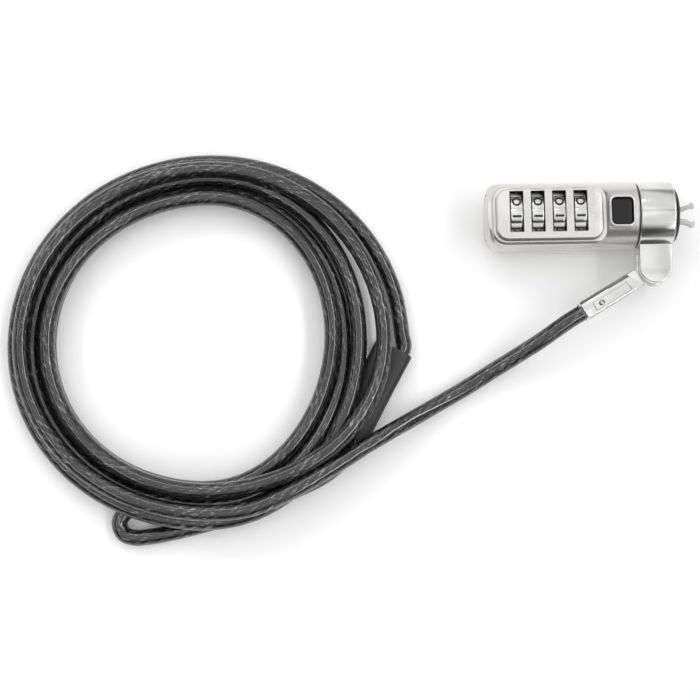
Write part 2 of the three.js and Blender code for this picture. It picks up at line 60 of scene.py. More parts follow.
GAP = 0.3
HEAD_R = 10.4
BODY_LENGTH = 46
PAD = {"x0": -45, "x1": -10.2, "y0": -9.85, "y1": 8.15, "corner": 4.4, "top": 8.1}
PLATE = {"x0": -43.7, "x1": -11.3, "y0": -8.75, "y1": 7.05, "corner": 3.6, "top": 9.4}
DIAL_COUNT = 4
DIAL_FIRST_X = -37.5
DIAL_PITCH = 6.45
DIAL_WIDTH = 3.6
DIAL_R = 7.5
DIAL_BORE_R = 4.6
DIAL_Z = 2.4
DIGIT_ZERO_ANGLE = 24
POCKET = {"width": 4.2, "r": 7.85}
WINDOW = {"width": 4.2, "half": 6.3}
BUTTON = {
    "x": -5.75,
    "y": -0.5,
    "width": 6.3,
    "length": 8,
    "corner": 1.3,
    "top": 10.1,
    "bottom": 6.6,
}
BEZEL = {"width": 7.9, "length": 9.9, "corner": 2.1, "top": 10.7}
LUG = {"x": 5.2, "half": 5, "pivot_y": -16.5, "thick": 4}
FITTING_ANGLE = 210.6
FITTING_END = 26.2
NECK_END = 11.2
END_PAD = {
    "x0": 10.9,
    "x1": 12.6,
    "rim": 11.2,
    "outer": 8.8,
    "bore": 7.3,
    "face": 4.8,
    "slot": (3, 1.75),
}
CABLE_R = 2.5
SLEEVE = {"x": -82.1, "y": -52.6, "angle": -118.3, "length": 31, "half": 6.2, "height": 6.4}


def place(obj, spin=0, offset=(0, 0, 0)):
    """Turns a mesh made in millimetres about Z, moves it, then puts it in the row frame."""
    local = Matrix.Translation(offset) @ Matrix.Rotation(math.radians(spin), 4, "Z")
    obj.data.transform(Matrix.Translation(ORIGIN) @ Matrix.Scale(MM, 4) @ local)
    return obj


# ---------------------------------------------------------------- mesh helpers
def from_faces(name, verts, faces):
    mesh = bpy.data.meshes.new(name)
    mesh.from_pydata([tuple(v) for v in verts], [], faces)
    mesh.validate()
    obj = bpy.data.objects.new(name, mesh)
    bpy.context.scene.collection.objects.link(obj)
    bm = bmesh.new()
    bm.from_mesh(mesh)
    bmesh.ops.remove_doubles(bm, verts=bm.verts, dist=1e-5)
    bmesh.ops.recalc_face_normals(bm, faces=bm.faces)
    bm.to_mesh(mesh)
    bm.free()
    return obj


def loft(name, rings, closed=False):
    """A skin over rings of points, with a flat cap at each end unless closed on itself."""
    count = len(rings[0])
    verts = [p for ring in rings for p in ring]
    faces = []
    last = len(rings) if closed else len(rings) - 1
    for i in range(last):
        a, b = i * count, ((i + 1) % len(rings)) * count
        for k in range(count):
            n = (k + 1) % count
            faces.append((a + k, a + n, b + n, b + k))
    if not closed:
        faces.append(tuple(range(count))[::-1])
        faces.append(tuple(range(len(verts) - count, len(verts))))
    return from_faces(name, verts, faces)


def turned(name, profile, segments=128, closed=False):
    """A solid of revolution about X, from points of (x, r). A closed profile makes a ring."""
    rings = []
    for k in range(segments):
        a = 2 * math.pi * k / segments
        rings.append([(x, r * math.sin(a), r * math.cos(a)) for x, r in profile])
    if closed:
        return loft(name, rings, closed=True)
    count = len(profile)
    verts = [p for ring in rings for p in ring]
    faces = []
    for i in range(segments):
        a, b = i * count, ((i + 1) % segments) * count
        for k in range(count - 1):
            faces.append((a + k, a + k + 1, b + k + 1, b + k))
    return from_faces(name, verts, faces)


def arc(cx, cy, r, a0, a1, steps):
    out = []
    for k in range(steps + 1):
        a = math.radians(a0 + (a1 - a0) * k / steps)
        out.append((cx + r * math.cos(a), cy + r * math.sin(a)))
    return out


def rounded(x0, x1, y0, y1, r, steps=10):
    r = max(r, 0.02)
    return (
        arc(x1 - r, y0 + r, r, -90, 0, steps)
        + arc(x1 - r, y1 - r, r, 0, 90, steps)
        + arc(x0 + r, y1 - r, r, 90, 180, steps)
        + arc(x0 + r, y0 + r, r, 180, 270, steps)
    )


def slab(name, x0, x1, y0, y1, r, profile, steps=10):
    """A rounded rectangle whose outline moves in by each inset of the profile's (inset, z)."""
    rings = [
        [(x, y, z) for x, y in rounded(x0 + i, x1 - i, y0 + i, y1 - i, r - i, steps)]
        for i, z in profile
    ]
    return loft(name, rings)


def prism(name, outline, z0, z1):
    return loft(name, [[(x, y, z) for x, y in outline] for z in (z0, z1)])


def block(name, x0, x1, y0, y1, z0, z1):
    return prism(name, [(x0, y0), (x1, y0), (x1, y1), (x0, y1)], z0, z1)


def rod(name, r, z0, z1, x=0, y=0, segments=32):
    return prism(name, arc(x, y, r, 0, 360 - 360 / segments, segments - 1), z0, z1)


def rod_x(name, r, x0, x1, y=0, z=0, segments=64):
    obj = turned(name, [(x0, 0), (x0, r), (x1, r), (x1, 0)], segments)
    obj.data.transform(Matrix.Translation((0, y, z)))
    return obj


def edge_round(top, inset, steps):
    """Profile points of a quarter round that ends at the height top, for slab()."""
    out = []
    for k in range(steps + 1):
        a = math.pi / 2 * k / steps
        out.append((inset * (1 - math.cos(a)), top - inset + inset * math.sin(a)))
    return out


def apply_modifiers(obj):
    dg = bpy.context.evaluated_depsgraph_get()
    made = bpy.data.meshes.new_from_object(obj.evaluated_get(dg), depsgraph=dg)
    obj.modifiers.clear()
    old = obj.data
    obj.data = made
    made.name = obj.name
    bpy.data.meshes.remove(old)
    return obj


def combine(obj, others, operation):
    for other in others:
        mod = obj.modifiers.new("b", "BOOLEAN")
        mod.operation = operation
        mod.solver = "EXACT"
        mod.object = other
    apply_modifiers(obj)
    for other in others:
        bpy.data.objects.remove(other)
    return obj


def cut(obj, *others):
    return combine(obj, others, "DIFFERENCE")


def join(obj, *others):
    return combine(obj, others, "UNION")


def bevel(obj, width, segments=3, angle=30):
    mod = obj.modifiers.new("v", "BEVEL")
    mod.width = width
    mod.segments = segments
    mod.limit_method = "ANGLE"
    mod.angle_limit = math.radians(angle)
    mod.use_clamp_overlap = True
    return apply_modifiers(obj)


def shade(obj, angle=35):
    obj.data.shade_smooth()
    if angle:
        obj.data.set_sharp_from_angle(angle=math.radians(angle))
    return obj


# ---------------------------------------------------------------- materials
def nodes_of(name):
    mat = bpy.data.materials.new(name)
    mat.use_nodes = True
    tree = mat.node_tree
    shader = tree.nodes["Principled BSDF"]
    return mat, tree, shader


def link(tree, a, b):
    tree.links.new(a, b)


def noise(tree, scale, detail=4, rough=0.6):
    """Noise over the object's own coordinates, in patterns per metre."""
    coords = tree.nodes.new("ShaderNodeTexCoord")
    tex = tree.nodes.new("ShaderNodeTexNoise")
    tex.inputs["Scale"].default_value = scale
    tex.inputs["Detail"].default_value = detail
    tex.inputs["Roughness"].default_value = rough
    link(tree, coords.outputs["Object"], tex.inputs["Vector"])
    return tex.outputs["Fac"]


def ramp(tree, source, stops):
    node = tree.nodes.new("ShaderNodeValToRGB")
    elements = node.color_ramp.elements
    for i, (where, value) in enumerate(stops):
        element = elements[i] if i < 2 else elements.new(where)
        element.position = where
        colour = (value,) * 3 if isinstance(value, (int, float)) else value
        element.color = (*colour, 1)
    link(tree, source, node.inputs["Fac"])
    return node.outputs["Color"]


def to_range(tree, source, low, high, from_low=0.0, from_high=1.0):
    node = tree.nodes.new("ShaderNodeMapRange")
    node.inputs["From Min"].default_value = from_low
    node.inputs["From Max"].default_value = from_high
    node.inputs["To Min"].default_value = low
    node.inputs["To Max"].default_value = high
    link(tree, source, node.inputs["Value"])
    return node.outputs["Result"]


def math_node(tree, operation, a, b=None, clamp=False):
    node = tree.nodes.new("ShaderNodeMath")
    node.operation = operation
    node.use_clamp = clamp
    for i, value in enumerate((a, b)):
        if value is None:
            continue
        if isinstance(value, (int, float)):
            node.inputs[i].default_value = value
        else:
            link(tree, value, node.inputs[i])
    return node.outputs[0]


def times(tree, a, b, clamp=False):
    return math_node(tree, "MULTIPLY", a, b, clamp)


def mix_colour(tree, factor, a, b, mode="MIX"):
    node = tree.nodes.new("ShaderNodeMix")
    node.data_type = "RGBA"
    node.blend_type = mode
    for socket, value in ((node.inputs[0], factor), (node.inputs[6], a), (node.inputs[7], b)):
        if isinstance(value, (int, float)):
            socket.default_value = value
        elif isinstance(value, tuple):
            socket.default_value = (*value, 1)
        else:
            link(tree, value, socket)
    return node.outputs[2]


def bump(tree, shader, height, strength, distance):
    node = tree.nodes.new("ShaderNodeBump")
    node.inputs["Strength"].default_value = strength
    node.inputs["Distance"].default_value = distance
    link(tree, height, node.inputs["Height"])
    link(tree, node.outputs["Normal"], shader.inputs["Normal"])


METAL_BLOTCH = 60  # patterns per metre of the drift in a metal's colour and polish


def metal(name, dark, light, roughness, grain, depth, wear=0.0):
    """Metal with fine grain in its normal, drifting polish, and brighter worn edges."""
    mat, tree, shader = nodes_of(name)
    fine = noise(tree, grain, 3, 0.7)
    broad = noise(tree, METAL_BLOTCH, 4, 0.55)
    colour = ramp(tree, broad, [(0.3, dark), (0.7, light)])
    if wear:
        geometry = tree.nodes.new("ShaderNodeNewGeometry")
        edge = to_range(tree, geometry.outputs["Pointiness"], 0.0, wear, 0.52, 0.62)
        pale = tuple(min(1.0, c * 1.12) for c in light)
        colour = mix_colour(tree, edge, colour, pale)
    link(tree, colour, shader.inputs["Base Color"])
    mixed = math_node(tree, "ADD", times(tree, fine, 0.6), times(tree, broad, 0.4))
    link(tree, to_range(tree, mixed, *roughness, 0.3, 0.7), shader.inputs["Roughness"])
    shader.inputs["Metallic"].default_value = 1.0
    bump(tree, shader, fine, 0.6, depth)
    return mat


def plastic(name, dark, light, roughness, grain, depth, blotch=90, specular=0.5):
    """Moulded plastic or rubber with a fine matt grain and faint scuffs."""
    mat, tree, shader = nodes_of(name)
    fine = noise(tree, grain, 4, 0.7)
    broad = noise(tree, blotch, 5, 0.6)
    link(tree, ramp(tree, broad, [(0.35, dark), (0.72, light)]), shader.inputs["Base Color"])
    link(tree, to_range(tree, broad, *roughness, 0.3, 0.7), shader.inputs["Roughness"])
    shader.inputs["Specular IOR Level"].default_value = specular
    bump(tree, shader, fine, 0.5, depth)
    return mat


# Each finish: its darker and lighter colour, its range of roughness, its grain in patterns
# per metre and how deep that is in metres.
NICKEL = metal(
    "satin_nickel", (0.60, 0.59, 0.57), (0.74, 0.73, 0.71), (0.24, 0.36), 5200, 0.00003, wear=0.6
)
CHROME = metal(
    "chrome_plate", (0.66, 0.66, 0.65), (0.79, 0.79, 0.78), (0.12, 0.22), 3600, 0.00002, wear=0.5
)
CLAW_PLATE = metal(
    "claw_plate", (0.34, 0.34, 0.34), (0.5, 0.5, 0.49), (0.2, 0.34), 4200, 0.00002, wear=0.5
)
STEEL = metal("steel", (0.42, 0.43, 0.44), (0.58, 0.58, 0.59), (0.25, 0.42), 4200, 0.00002)
BRASS = metal("brass", (0.55, 0.42, 0.2), (0.72, 0.58, 0.3), (0.25, 0.4), 4200, 0.00002)
PLASTIC = plastic(
    "black_plastic",
    (0.007, 0.007, 0.0075),
    (0.013, 0.013, 0.0135),
    (0.36, 0.5),
    6500,
    0.00003,
    specular=0.28,
)
RUBBER = plastic(
    "black_rubber", (0.006,) * 3, (0.012,) * 3, (0.5, 0.68), 5200, 0.00005, specular=0.3
)
# Near-black painted shade for the dial wells and the face plate's side walls, where shade falls.
RECESS_SHADE = plastic(
    "painted_recess_shade",
    (0.015, 0.015, 0.015),
    (0.035, 0.034, 0.033),
    (0.5, 0.7),
    3000,
    0.00003,
    specular=0.3,
)
SLEEVE_BLACK = plastic(
    "sleeve_black",
    (0.022, 0.021, 0.021),
    (0.04, 0.038, 0.038),
    (0.42, 0.6),
    3800,
    0.00006,
    blotch=120,
)
INK = plastic("digit_ink", (0.006,) * 3, (0.014,) * 3, (0.45, 0.6), 6000, 0.00002)

# The cable's make-up. A lay is the length in metres of one turn of a helix, and a negative
# one winds the other way.
STRANDS = 8
STRAND_LAY = 0.034
WIRE_LAY = -0.16
CROSS_LAY = 0.03


def cable_material():
    """Smoky clear vinyl over twisted steel. The strands and their wires come from the UV
    map, where U runs along the cable in metres and V once round it."""
    mat, tree, shader = nodes_of("vinyl_cable")
    uv = tree.nodes.new("ShaderNodeUVMap")
    uv.uv_map = "cord"
    split = tree.nodes.new("ShaderNodeSeparateXYZ")
    link(tree, uv.outputs["UV"], split.inputs["Vector"])
    u, v = split.outputs["X"], split.outputs["Y"]

    def around(lay):
        """The turn, in whole turns, of a helix that goes once round in lay metres."""
        return math_node(tree, "ADD", times(tree, u, 1 / lay), v)

    def crown(turn, count):
        """0 in the groove between count strands, 1 on their crowns."""
        saw = math_node(tree, "FRACT", times(tree, turn, count))
        ramped = math_node(tree, "SUBTRACT", times(tree, saw, 2.0), 1.0)
        off = math_node(tree, "ABSOLUTE", ramped)
        return math_node(tree, "SUBTRACT", 1.0, times(tree, off, off))

    def streaks(turn, along, fineness, detail):
        """Noise drawn out along a helix, with no seam round the cable."""
        angle = times(tree, turn, 2 * math.pi)
        where = tree.nodes.new("ShaderNodeCombineXYZ")
        link(tree, times(tree, u, along), where.inputs["X"])
        for axis, wave in (("Y", "COSINE"), ("Z", "SINE")):
            link(tree, times(tree, math_node(tree, wave, angle), fineness), where.inputs[axis])
        tex = tree.nodes.new("ShaderNodeTexNoise")
        tex.inputs["Scale"].default_value = 1.0
        tex.inputs["Detail"].default_value = detail
        link(tree, where.outputs["Vector"], tex.inputs["Vector"])
        return tex.outputs["Fac"]

    # The base colour is the wires' own grey, with painted glints along the wires and painted shade,
    # near black, in the grooves between strands.
    strand = crown(around(STRAND_LAY), STRANDS)
    wires = streaks(around(WIRE_LAY), 420, 9.5, 2)
    cross = streaks(around(CROSS_LAY), 260, 7.0, 1)
    patches = streaks(around(STRAND_LAY), 45, 0.5, 2)
    wire = to_range(tree, wires, 0.0, 1.0, 0.38, 0.66)
    relief = times(tree, strand, math_node(tree, "ADD", times(tree, wire, 0.5), 0.5))
    painted_glint = times(tree, wire, to_range(tree, cross, 0.25, 1.2, 0.35, 0.65))
    painted_glint = times(tree, painted_glint, to_range(tree, strand, 0.12, 1.0))
    painted_glint = times(tree, painted_glint, to_range(tree, patches, 0.55, 1.25, 0.3, 0.7), clamp=True)
    # The near-black groove colour is painted shade; the brightest colour is a painted glint on the
    # wires.
    groove, flank, wire_glint = (0.005, 0.005, 0.0052), (0.02, 0.02, 0.0205), (0.27, 0.27, 0.272)
    colour = ramp(tree, painted_glint, [(0.0, groove), (0.35, flank), (1.0, wire_glint)])
    link(tree, colour, shader.inputs["Base Color"])
    link(tree, to_range(tree, painted_glint, 0.5, 0.32), shader.inputs["Roughness"])
    shader.inputs["Metallic"].default_value = 0.5
    shader.inputs["Specular IOR Level"].default_value = 0.3
    shader.inputs["Coat Weight"].default_value = 1.0
    shader.inputs["Coat Roughness"].default_value = 0.06
    shader.inputs["Coat IOR"].default_value = 1.65
    bump(tree, shader, relief, 0.6, 0.00016)
    return mat


CABLE = cable_material()


def dress(obj, material, slot, body, *replaced):
    obj.data.materials.clear()
    obj.data.materials.append(material)
    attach(obj, body)
    if replaced:
        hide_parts(*replaced)
    return obj


# ---------------------------------------------------------------- cable
COIL = (-132, -36)
DOWN, LEFT, UP, RIGHT = (0, -1), (-1, 0), (0, 1), (1, 0)
# Where each pass of the cable crosses the coil's four axes, clockwise from the bottom:
# (distance from the coil's centre, height above the surface).
PASSES = [
    (53.0, 11.4),
    (57.6, 8.6),
    (53.6, 8.2),
    (53.8, 9.4),
    (46.3, 12.0),
    (49.6, 8.0),
    (44.9, 7.5),
    (39.2, 7.0),
    (47.3, 7.4),
    (50.2, 2.5),
    (46.9, 2.5),
    (41.3, 2.5),
    (50.2, 2.5),
    (55.2, 2.5),
    (51.9, 2.5),
    (46.6, 7.0),
    (55.2, 7.0),
    (60.2, 2.5),
    (56.9, 2.5),
    (59.6, 2.5),
]
QUARTER_STEPS = 6


def along_fitting(distance, z):
    a = math.radians(FITTING_ANGLE)
    return (LUG["x"] + distance * math.cos(a), LUG["pivot_y"] + distance * math.sin(a), z)


def in_sleeve(along, side, z):
    a = math.radians(SLEEVE["angle"])
    across = side * (CABLE_R + 0.1)
    x = SLEEVE["x"] + along * math.cos(a) - across * math.sin(a)
    y = SLEEVE["y"] + along * math.sin(a) + across * math.cos(a)
    return (x, y, z)


TAIL = [
    along_fitting(FITTING_END + GAP, 10.4),
    along_fitting(FITTING_END + 5, 10.2),
    (-30.3, -38.2, 8.6),
    (-37.5, -42.5, 6.2),
    (-44.5, -46.6, 4.1),
    (-51.5, -50.8, 3),
    (-58.5, -54.8, 3),
    (-65.5, -58.8, 4.4),
    (-72.5, -62.8, 6.8),
    (-79, -66.5, 8.8),
    (-83.5, -69.1, 9.4),
]
TAIL_ON = [
    (-90.5, -73.3, 9.8),
    (-98.4, -77.9, 10.2),
    (-108.8, -83.5, 10.8),
    (-119.5, -87.8, 11.4),
]
HALF_SLEEVE = SLEEVE["length"] / 2
EYE = [
    in_sleeve(HALF_SLEEVE + 0.3, 1, 2.5),
    in_sleeve(HALF_SLEEVE + 4, 1, 2.5),
    (-96.6, -77.8, 2.5),
    (-105.4, -82.1, 2.5),
    (-116.8, -86.8, 2.5),
    (-128.7, -90.9, 2.5),
    (-141, -94, 2.5),
    (-150, -95.6, 2.5),
    (-155.5, -95.9, 2.5),
    (-158.5, -94.7, 2.5),
    (-159.8, -91.6, 2.5),
    (-158.5, -88.6, 2.5),
    (-155.5, -87.3, 2.5),
    (-149, -86.9, 2.5),
    (-141, -86.2, 2.5),
    (-128.7, -84.2, 2.5),
    (-116.8, -80.6, 2.5),
    (-105.4, -75.6, 2.5),
    in_sleeve(HALF_SLEEVE + 4.5, -1, 2.5),
    in_sleeve(HALF_SLEEVE + 0.3, -1, 2.5),
]


def coil_points():
    out = []
    axes = (DOWN, LEFT, UP, RIGHT)
    for k in range(len(PASSES) - 1):
        (r0, z0), (r1, z1) = PASSES[k], PASSES[k + 1]
        d0, d1 = axes[k % 4], axes[(k + 1) % 4]
        for i in range(QUARTER_STEPS):
            t = math.pi / 2 * i / QUARTER_STEPS
            a, b = r0 * math.cos(t), r1 * math.sin(t)
            blend = (1 - math.cos(2 * t)) / 2
            z = z0 + (z1 - z0) * blend
            out.append((COIL[0] + a * d0[0] + b * d1[0], COIL[1] + a * d0[1] + b * d1[1], z))
    return out


def between(t0, t1, s, a, b):
    """The point at s on the straight line that is at a for t0 and at b for t1."""
    return (t1 - s) / (t1 - t0) * a + (s - t0) / (t1 - t0) * b


def catmull(points, step):
    """Points about step apart on a centripetal Catmull-Rom curve."""
    p = np.array(points, float)
    p = np.vstack([2 * p[0] - p[1], p, 2 * p[-1] - p[-2]])
    out = []
    for i in range(1, len(p) - 2):
        q = p[i - 1 : i + 3]
        t = np.concatenate([[0], np.cumsum(np.linalg.norm(np.diff(q, axis=0), axis=1) ** 0.5)])
        n = max(2, int(np.linalg.norm(q[2] - q[1]) / step) + 1)
        for s in np.linspace(t[1], t[2], n, endpoint=False):
            a = [between(t[j], t[j + 1], s, q[j], q[j + 1]) for j in range(3)]
            b = [between(t[j], t[j + 2], s, a[j], a[j + 1]) for j in range(2)]
            out.append(between(t[1], t[2], s, b[0], b[1]))
    out.append(p[-2])
    return np.array(out)


def resampled(points, step):
    lengths = np.concatenate([[0], np.cumsum(np.linalg.norm(np.diff(points, axis=0), axis=1))])
    where = np.linspace(0, lengths[-1], int(round(lengths[-1] / step)) + 1)
    return np.stack([np.interp(where, lengths, points[:, k]) for k in range(3)], 1)


SLEEVE_ROUND = 3.2  # how round the sleeve's long edges are


def sleeve_floor(p):
    """How high a pass has to lie where it crosses the sleeve."""
    a = math.radians(SLEEVE["angle"])
    dx, dy = p[:, 0] - SLEEVE["x"], p[:, 1] - SLEEVE["y"]
    along = np.abs(dx * math.cos(a) + dy * math.sin(a)) - HALF_SLEEVE
    across = np.abs(-dx * math.sin(a) + dy * math.cos(a)) - SLEEVE["half"] + SLEEVE_ROUND
    outside = np.hypot(np.maximum(along, 0), np.maximum(across, 0))
    reach = CABLE_R + SLEEVE_ROUND
    rise = np.sqrt(np.maximum(reach**2 - outside**2, 0))
    return np.where(outside < reach, SLEEVE["height"] - SLEEVE_ROUND + rise, 0)


ROUNDS = 260  # of moving the passes apart
LAST_ROUNDS = 60  # of those, without the pull back to each pass's own place
PASS_GAP = 0.06  # wanted between two passes
SAME_PASS = 14  # points nearer than this along the cable are on the same pass
SIDEWAYS = 0.55  # the share of a push that goes sideways, as the rest goes up or down
PUSH = 0.55  # the share of an overlap that one round takes away
STIFFNESS = 0.4  # how much of the smoothed shift each smoothing takes up
SPRING_BACK = 0.995  # what one round leaves of a sideways shift
SAG = 0.012  # how far one round lets a pass sink


def settled(points, held, enters):
    """Moves crossing passes apart until none lies inside another, each as near its own
    place as it can be. The stretch that enters the sleeve doesn't climb over it."""
    clear = 2 * CABLE_R + PASS_GAP
    step = np.linalg.norm(points[1] - points[0])
    skip = int(SAME_PASS / step)
    home = points.copy()
    shift = np.zeros_like(points)
    index = np.arange(len(points))
    apart = np.abs(index[:, None] - index[None, :]) > skip
    free = ~held
    for turn in range(ROUNDS):
        p = home + shift
        if turn % 20 == 0:
            far = ((p[:, None, :] - p[None, :, :]) ** 2).sum(2)
            near_i, near_j = np.nonzero(apart & (far < (clear + 5) ** 2))
        delta = p[near_i] - p[near_j]
        dist = np.sqrt((delta**2).sum(1)) + 1e-9
        close = dist < clear
        i, j, delta, dist = near_i[close], near_j[close], delta[close], dist[close]
        push = delta / dist[:, None]
        push[:, :2] *= SIDEWAYS
        amount = (clear - dist) * np.where(held[j], 1.0, 0.5) * PUSH
        move = np.zeros_like(points)
        np.add.at(move, i, push * amount[:, None])
        count = np.bincount(i, minlength=len(points))
        move /= np.maximum(count, 1)[:, None] ** 0.5
        shift[free] += move[free]
        # a stiff cable: its shift changes slowly along it
        for _ in range(2):
            smooth = shift.copy()
            smooth[3:-3] = sum(shift[k : len(shift) - 6 + k] for k in range(7)) / 7
            shift[free] = shift[free] * (1 - STIFFNESS) + smooth[free] * STIFFNESS
        if turn < ROUNDS - LAST_ROUNDS:
            shift[free, :2] *= SPRING_BACK
            shift[free, 2] -= SAG
        z = home[:, 2] + shift[:, 2]
        low = np.maximum(CABLE_R, np.where(enters, 0, sleeve_floor(home + shift)))
        shift[free, 2] = np.where(z < low, low - home[:, 2], shift[:, 2])[free]
    return home + shift


def length_of(points):
    return np.linalg.norm(np.diff(points, axis=0), axis=1).sum()


ROUTE_STEP = 2  # between the points that settled() moves
SLEEVE_WAY = 32  # the stretch before the sleeve that doesn't climb over it


def cable_route():
    entry = in_sleeve(-HALF_SLEEVE - 1.5, 1, 2.6)
    start = catmull(TAIL + TAIL_ON + coil_points() + [entry], ROUTE_STEP)
    inside = [entry, in_sleeve(-6, 1, 2.8), in_sleeve(6, 1, 2.8)]
    back = [in_sleeve(6, -1, 2.8), in_sleeve(-HALF_SLEEVE + 5, -1, 2.8)]
    end = catmull(inside + EYE + back, ROUTE_STEP)
    line = resampled(np.vstack([start[:-1], end]), ROUTE_STEP)
    lengths = ROUTE_STEP * np.arange(len(line))
    end_starts = lengths[-1] - length_of(end)
    held = (lengths < length_of(catmull(TAIL, ROUTE_STEP)) + 2) | (lengths > end_starts - 1)
    return catmull(settled(line, held, lengths > end_starts - SLEEVE_WAY)[::2], 1)


def cord_tube(name, line, radius, sides=20):
    """A round tube with flat ends, with a UV map in metres along it."""
    tangents = np.gradient(line, axis=0)
    tangents /= np.linalg.norm(tangents, axis=1)[:, None]
    normal = np.cross(tangents[0], (0, 0, 1.0))
    normal /= np.linalg.norm(normal)
    along = np.concatenate([[0], np.cumsum(np.linalg.norm(np.diff(line, axis=0), axis=1))])
    angles = 2 * np.pi * np.arange(sides) / sides
    cosines, sines = np.cos(angles)[:, None], np.sin(angles)[:, None]
    rings = []
    for p, t in zip(line, tangents):
        normal = normal - np.dot(normal, t) * t
        normal /= np.linalg.norm(normal)
        side = np.cross(t, normal)
        rings.append(p + radius * (cosines * normal + sines * side))
    count = len(rings)
    verts = np.vstack(rings)
    faces, uvs = [], []
    for i in range(count - 1):
        for k in range(sides):
            n = (k + 1) % sides
            a, b = i * sides, (i + 1) * sides
            faces.append((a + k, a + n, b + n, b + k))
            v0, v1 = k / sides, (k + 1) / sides
            uvs += [(along[i], v0), (along[i], v1), (along[i + 1], v1), (along[i + 1], v0)]
    first = range(sides)[::-1]
    last = range((count - 1) * sides, count * sides)
    for ring, where in ((first, 0), (last, -1)):
        faces.append(tuple(ring))
        uvs += [(along[where], 0.5)] * sides
    mesh = bpy.data.meshes.new(name)
    mesh.from_pydata([tuple(v) for v in verts * MM], [], faces)
    layer = mesh.uv_layers.new(name="cord")
    scale = np.tile([MM, 1.0], len(uvs)).astype(np.float32)
    layer.data.foreach_set("uv", np.array(uvs, np.float32).ravel() * scale)
    obj = bpy.data.objects.new(name, mesh)
    bpy.context.scene.collection.objects.link(obj)
    return shade(obj, 60)


def build_cable():
    route = cable_route()
    floor_shift = np.array([ORIGIN.x / MM, ORIGIN.y / MM, 0])
    line = route + floor_shift
    cable = cord_tube("cable", line, CABLE_R)
    dress(cable, CABLE, "vinyl_cable", "cable_assembly", "cable_tail", "cable_coil", "cable_eye")
    return cable, line * MM


# The sleeve's section: how square it is (1 would be an oval), and the dip between passes.
SLEEVE_FORM = {"flat_sides": 0.5, "flat_faces": 0.62, "dip": 0.07, "dip_width": 1.4}


def build_sleeve():
    """A black crimped sleeve round the eye's two passes, a little pinched, with soft mouths."""
    rings = []
    half, height = SLEEVE["half"], SLEEVE["height"]
    # Where each ring is along the sleeve's first half, and its size as a share of the full
    # one. The first is turned in, down the mouth. The other half mirrors these.
    stations = [
        (-HALF_SLEEVE + 1.1, 0.80),
        (-HALF_SLEEVE + 0.35, 0.88),
        (-HALF_SLEEVE, 0.94),
        (-HALF_SLEEVE + 0.25, 0.99),
        (-HALF_SLEEVE + 1.2, 1.0),
        (-8, 0.975),
    ]
    stations += [(0, 0.965)] + [(-x, scale) for x, scale in stations[::-1]]
    for x, scale in stations:
        ring = []
        for k in range(64):
            a = 2 * math.pi * k / 64
            c, s = math.cos(a), math.sin(a)
            y = half * math.copysign(abs(c) ** SLEEVE_FORM["flat_sides"], c)
            z = height / 2 * math.copysign(abs(s) ** SLEEVE_FORM["flat_faces"], s)
            z *= 1 - SLEEVE_FORM["dip"] * math.exp(-((y / SLEEVE_FORM["dip_width"]) ** 2))
            z = z * scale if z > 0 else max(z * scale, -height / 2)
            ring.append((x, y * scale, z))
        rings.append(ring)
    sleeve = loft("sleeve", rings)
    mod = sleeve.modifiers.new("s", "SUBSURF")
    mod.levels = 2
    mod.render_levels = 2
    apply_modifiers(sleeve)
    shade(sleeve, 0)
    place(sleeve, SLEEVE["angle"], (SLEEVE["x"], SLEEVE["y"], height / 2 - HEAD_R))
    return dress(sleeve, SLEEVE_BLACK, "sleeve_black", "cable_assembly", "loop_sleeve")


cable, cable_line = build_cable()
sleeve = build_sleeve()


# ---------------------------------------------------------------- the lock's body
def dial_x(i):
    return DIAL_FIRST_X + i * DIAL_PITCH


def footprint(part):
    """The x and y limits of the button, or of the rim round it."""
    x, y = BUTTON["x"], BUTTON["y"]
    half_x, half_y = part["width"] / 2, part["length"] / 2
    return [x - half_x, x + half_x, y - half_y, y + half_y]


def grown(limits, x0, x1, y0, y1):
    return [limits[0] + x0, limits[1] + x1, limits[2] + y0, limits[3] + y1]


BODY_ROUND = 3.6  # at the body's closed end
NECK_R = 6.9
NECK_TIP = 12.2  # 1 mm past NECK_END, so a little of the neck lies inside the end pad
NECK_GROOVE = {"x0": 9.7, "x1": 10.5, "r": 6.3}  # for the retaining clip
PLUG_SEAT = {"r": 7.3, "x": -44.2}
BORE = {"r": 2.1, "x1": -10.2}  # for the code rod
PAD_CHAMFER = 0.6
BUTTON_PLAY = 0.25


